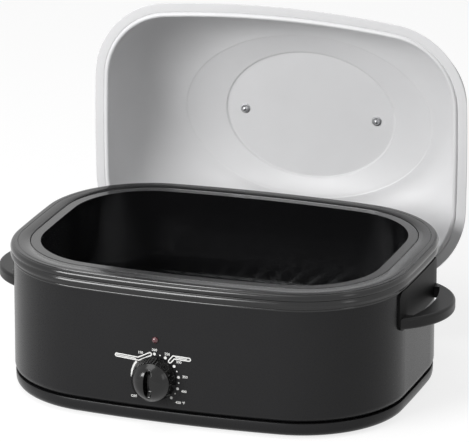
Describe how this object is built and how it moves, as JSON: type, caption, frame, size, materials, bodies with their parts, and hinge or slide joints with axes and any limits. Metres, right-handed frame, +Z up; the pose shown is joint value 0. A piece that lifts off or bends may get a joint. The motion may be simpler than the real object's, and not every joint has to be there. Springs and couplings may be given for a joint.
{
  "type": "electric roaster oven",
  "caption": "Oblong countertop roaster oven with a lift-out pan, a wire rack, a temperature dial and a domed lid swung open behind it on two rear arms.",
  "frame": {"origin": "on the table under the middle of the whole, lid open", "axes": "+X to the oven's right, +Y to its back, +Z up"},
  "size_m": [0.646, 0.6504, 0.4655],
  "materials": {
    "black_enamel": "gloss",
    "rim_plastic": "satin",
    "well_steel": "satin",
    "heater": "satin",
    "wool": "matte",
    "handle_plastic": "satin",
    "control_plastic": "matte",
    "copper_bulb": "satin",
    "lamp_red": "gloss",
    "lid_enamel": "satin",
    "knob_plastic": "satin",
    "pan_enamel": "gloss",
    "rack_chrome": "polished",
    "foot_rubber": "matte",
    "steel": "satin"
  },
  "bodies": {
    "oven": {"outer_shell": "black_enamel", "base_pan": "black_enamel", "base_rivets": "steel", "foot_1": "foot_rubber", "foot_2": "foot_rubber", "foot_3": "foot_rubber", "foot_4": "foot_rubber", "rim_ring": "rim_plastic", "liner": "well_steel", "heater_band": "heater", "insulation": "wool", "thermostat_bulb": "copper_bulb", "thermostat": "control_plastic", "pilot_lamp_lens": "lamp_red", "pilot_lamp_body": "control_plastic", "terminal_block": "control_plastic", "cord_gland": "control_plastic", "left_handle": "handle_plastic", "right_handle": "handle_plastic", "left_handle_plate": "handle_plastic", "right_handle_plate": "handle_plastic", "left_handle_screws": "steel", "right_handle_screws": "steel", "hinge_bracket_left": "steel", "hinge_bracket_right": "steel", "hinge_bracket_screws": "steel", "hinge_pin_left": "steel", "hinge_pin_right": "steel"},
    "hinge_arms": {"hinge_arm_left": "steel", "hinge_arm_right": "steel", "arm_tie_rod": "steel", "lid_pin_left": "steel", "lid_pin_right": "steel"},
    "lid": {"lid_shell": "lid_enamel", "lid_handle": "handle_plastic", "lid_handle_posts": "handle_plastic", "lid_screws": "steel", "lid_hinge_tab_left": "steel", "lid_hinge_tab_right": "steel", "lid_tab_rivets": "steel"},
    "dial_knob": {"knob": "knob_plastic", "knob_shaft": "steel"},
    "pan": {"roasting_pan": "pan_enamel"},
    "rack": {"rack_frame": "rack_chrome", "rack_lugs": "rack_chrome"},
    "left_rack_handle": {"rack_handle_left": "rack_chrome"},
    "right_rack_handle": {"rack_handle_right": "rack_chrome"}
  },
  "joints": [
    {"name": "lid_arm_swing", "type": "hinge", "parent": "oven", "child": "hinge_arms", "pos_m": [0, 0.1345, 0.1214], "axis": [-1, 0, 0], "range_deg": [-180, 0]},
    {"name": "lid_turn", "type": "hinge", "parent": "hinge_arms", "child": "lid", "pos_m": [0, 0.133, 0.0475], "axis": [-1, 0, 0], "range_deg": [0, 90]},
    {"name": "dial_turn", "type": "hinge", "parent": "oven", "child": "dial_knob", "pos_m": [-0.027, -0.2942, 0.0682], "axis": [0, -1, 0], "range_deg": [-136, 136]},
    {"name": "pan_lift", "type": "slide", "parent": "oven", "child": "pan", "axis": [0, 0, 1], "range_m": [0, 0.2]},
    {"name": "rack_lift", "type": "slide", "parent": "pan", "child": "rack", "axis": [0, 0, 1], "range_m": [0, 0.17]},
    {"name": "left_rack_handle_swing", "type": "hinge", "parent": "rack", "child": "left_rack_handle", "pos_m": [-0.2055, -0.086, 0.07868], "axis": [0, -1, 0], "range_deg": [0, 90]},
    {"name": "right_rack_handle_swing", "type": "hinge", "parent": "rack", "child": "right_rack_handle", "pos_m": [0.2055, -0.086, 0.07868], "axis": [0, 1, 0], "range_deg": [0, 90]}
  ],
  "couplings": [
    {"joint": "lid_turn", "follows": "lid_arm_swing", "ratio": -0.5}
  ]
}
